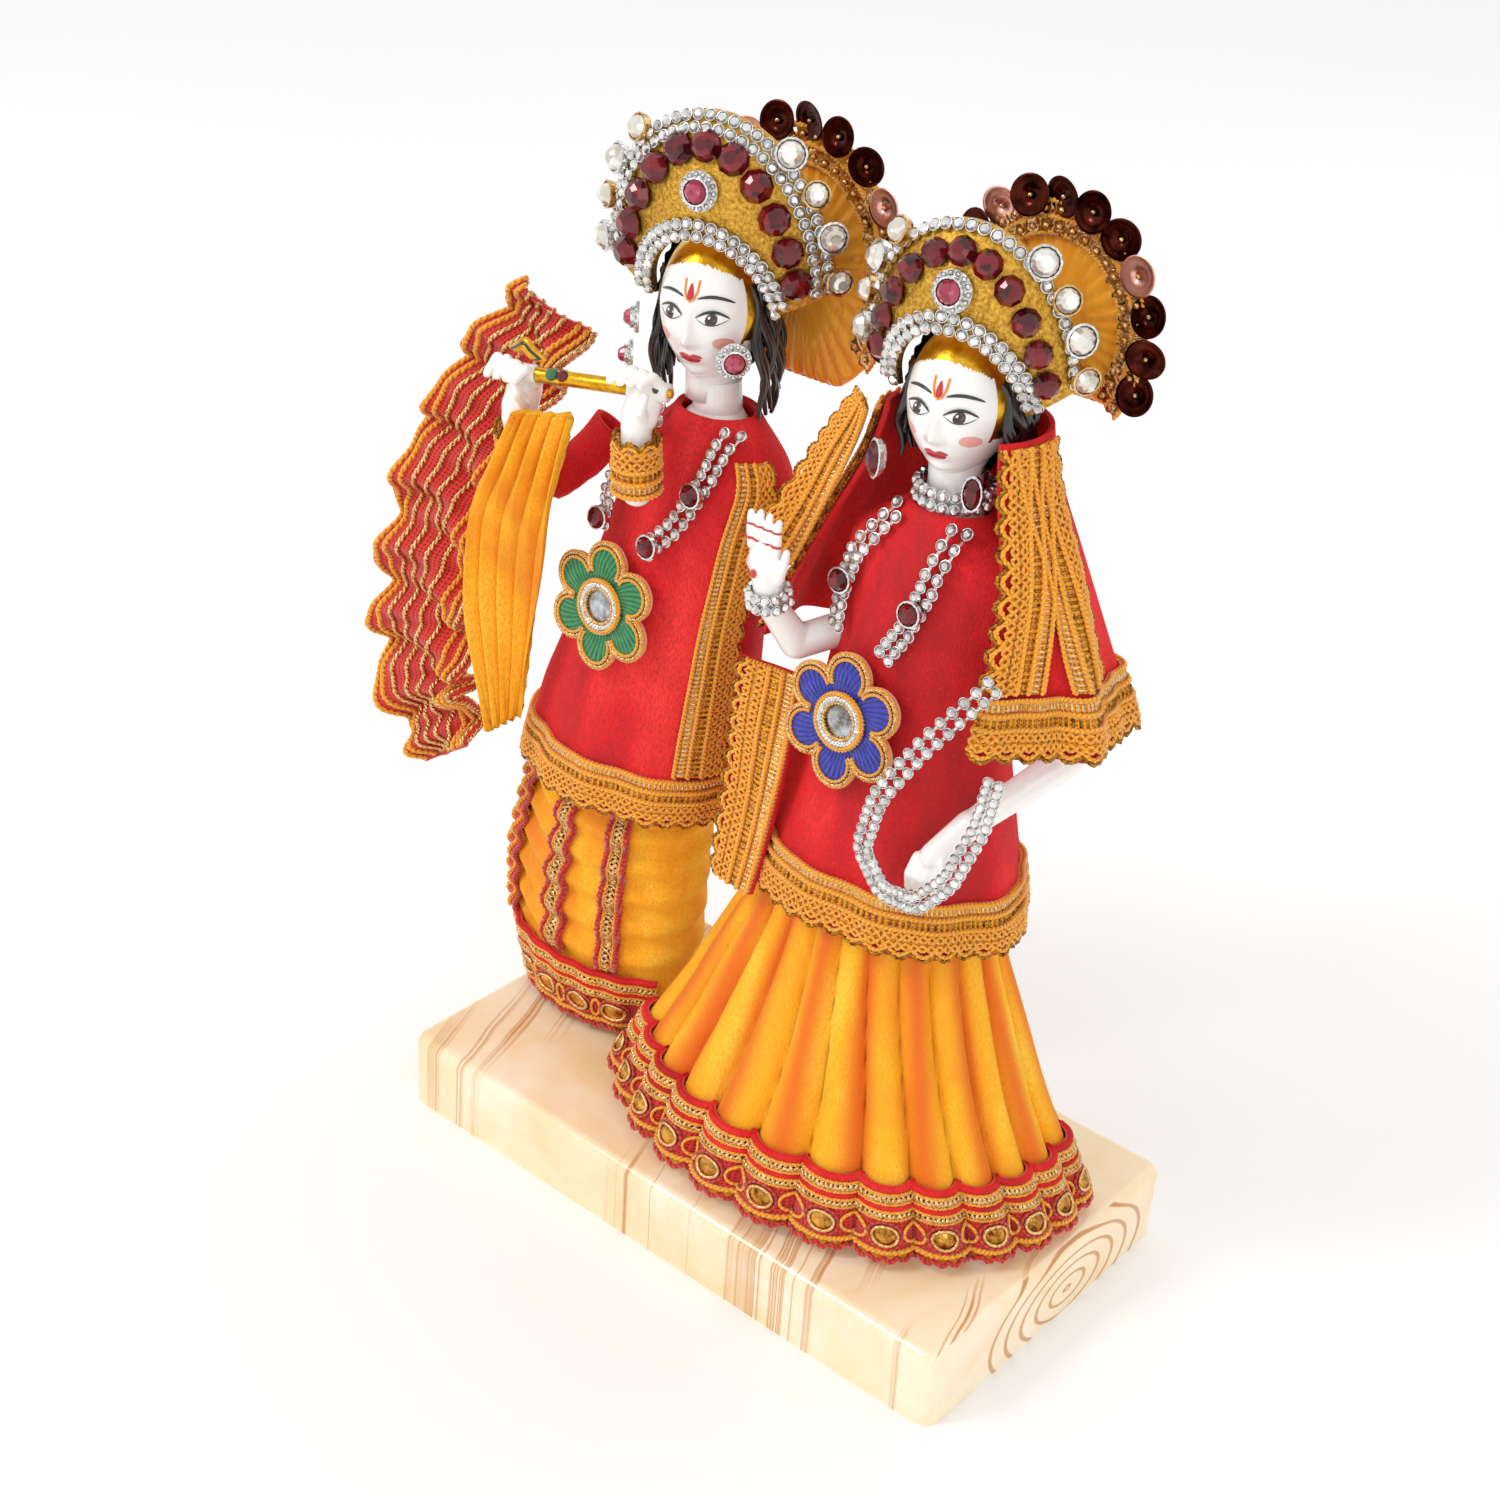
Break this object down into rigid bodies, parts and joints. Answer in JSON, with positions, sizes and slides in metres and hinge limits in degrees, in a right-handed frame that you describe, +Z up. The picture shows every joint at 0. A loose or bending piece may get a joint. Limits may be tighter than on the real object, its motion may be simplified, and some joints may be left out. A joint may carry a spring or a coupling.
{
  "type": "pair of dressed statuettes",
  "caption": "Pair of white glazed statuettes in velvet dress with lift-off crowns, swinging necklaces and a flute, on one marble-look slab for a shelf or altar.",
  "frame": {"origin": "centre of the slab's flat underside", "axes": "+Z up through the figures, +X along the slab's long side from the male figure to the female figure, -Y the way both figures face"},
  "size_m": [0.1839, 0.084, 0.2337],
  "materials": {
    "marble_look": "polished cream resin marble with printed tan veins",
    "white_glaze": "white painted and glazed marble dust",
    "black_paint": "hand-painted black hair",
    "red_velvet": "short pile velvet",
    "gold_lace": "woven metallic gold lace",
    "yellow_velvet": "short pile velvet",
    "braid": "red edged gold braid",
    "mirror_border": "red and gold gathered border with small mirrors",
    "rhinestone": "silver cups with clear rhinestones",
    "red_stone": "dark red faceted stones",
    "green_patch": "green embroidered flower",
    "patch_mirror": "small oval mirror",
    "gold_paint": "bright gold paint",
    "gold_plate": "gold painted plate",
    "clear_stone": "clear faceted stones",
    "gold_satin": "padded gold satin",
    "sequin": "dark brown and pale pink disc sequins",
    "blue_patch": "blue embroidered flower"
  },
  "bodies": {
    "statuettes": {"base_slab": "marble_look", "male_statue": "white_glaze", "male_head": "white_glaze", "male_hair": "black_paint", "male_left_arm": "white_glaze", "male_right_arm": "white_glaze", "male_tunic": "red_velvet", "male_sleeve": "red_velvet", "male_tunic_lace": "gold_lace", "male_cuffs": "gold_lace", "male_dhoti": "yellow_velvet", "male_dhoti_braid": "braid", "male_dhoti_border": "mirror_border", "male_dhoti_ruffle": "mirror_border", "male_shawl": "yellow_velvet", "male_shawl_ruffle": "mirror_border", "male_earrings": "rhinestone", "female_statue": "white_glaze", "female_head": "white_glaze", "female_hair": "black_paint", "female_left_arm": "white_glaze", "female_right_arm": "white_glaze", "female_tunic": "red_velvet", "female_tunic_lace": "gold_lace", "female_skirt": "yellow_velvet", "female_skirt_border": "mirror_border", "female_veil": "red_velvet", "female_veil_lace": "gold_lace", "female_collar": "rhinestone", "female_bracelet": "rhinestone", "female_earrings": "red_stone"},
    "male_necklace_body": {"male_necklace": "rhinestone", "male_necklace_stones": "red_stone", "male_pendant": "green_patch", "male_pendant_mirror": "patch_mirror"},
    "female_necklace_body": {"female_necklace": "rhinestone", "female_necklace_stones": "red_stone", "female_pendant": "blue_patch", "female_pendant_mirror": "patch_mirror"},
    "flute_body": {"flute": "gold_paint", "flute_ornament": "gold_paint"},
    "garland_body": {"female_garland": "rhinestone"},
    "male_crown_body": {"male_crown": "gold_plate", "male_crown_rhinestones": "rhinestone", "male_crown_red_stones": "red_stone", "male_crown_clear_stones": "clear_stone", "male_crown_rosette": "red_stone", "male_halo": "gold_satin", "male_halo_lace": "gold_lace", "male_halo_sequins": "sequin"},
    "female_crown_body": {"female_crown": "gold_plate", "female_crown_rhinestones": "rhinestone", "female_crown_red_stones": "red_stone", "female_crown_clear_stones": "clear_stone", "female_crown_rosette": "red_stone", "female_halo": "gold_satin", "female_halo_lace": "gold_lace", "female_halo_sequins": "sequin"}
  },
  "joints": [
    {"name": "male_necklace_swing", "type": "hinge", "parent": "statuettes", "child": "male_necklace_body", "pos_m": [-0.028, -0.006, 0.174], "axis": [-1, 0, 0], "range_deg": [0, 12]},
    {"name": "female_necklace_swing", "type": "hinge", "parent": "statuettes", "child": "female_necklace_body", "pos_m": [0.029, -0.006, 0.1725], "axis": [-1, 0, 0], "range_deg": [0, 12]},
    {"name": "hand_garland_swing", "type": "hinge", "parent": "statuettes", "child": "garland_body", "pos_m": [0.05, -0.026, 0.151], "axis": [-1, 0, 0], "range_deg": [0, 12]},
    {"name": "flute_slide", "type": "slide", "parent": "statuettes", "child": "flute_body", "axis": [0.971, 0.2185, 0.0971], "range_m": [-0.002, 0.002]},
    {"name": "male_crown_lift", "type": "slide", "parent": "statuettes", "child": "male_crown_body", "axis": [0, 0, 1], "range_m": [0, 0.035]},
    {"name": "female_crown_lift", "type": "slide", "parent": "statuettes", "child": "female_crown_body", "axis": [0, 0, 1], "range_m": [0, 0.035]}
  ]
}
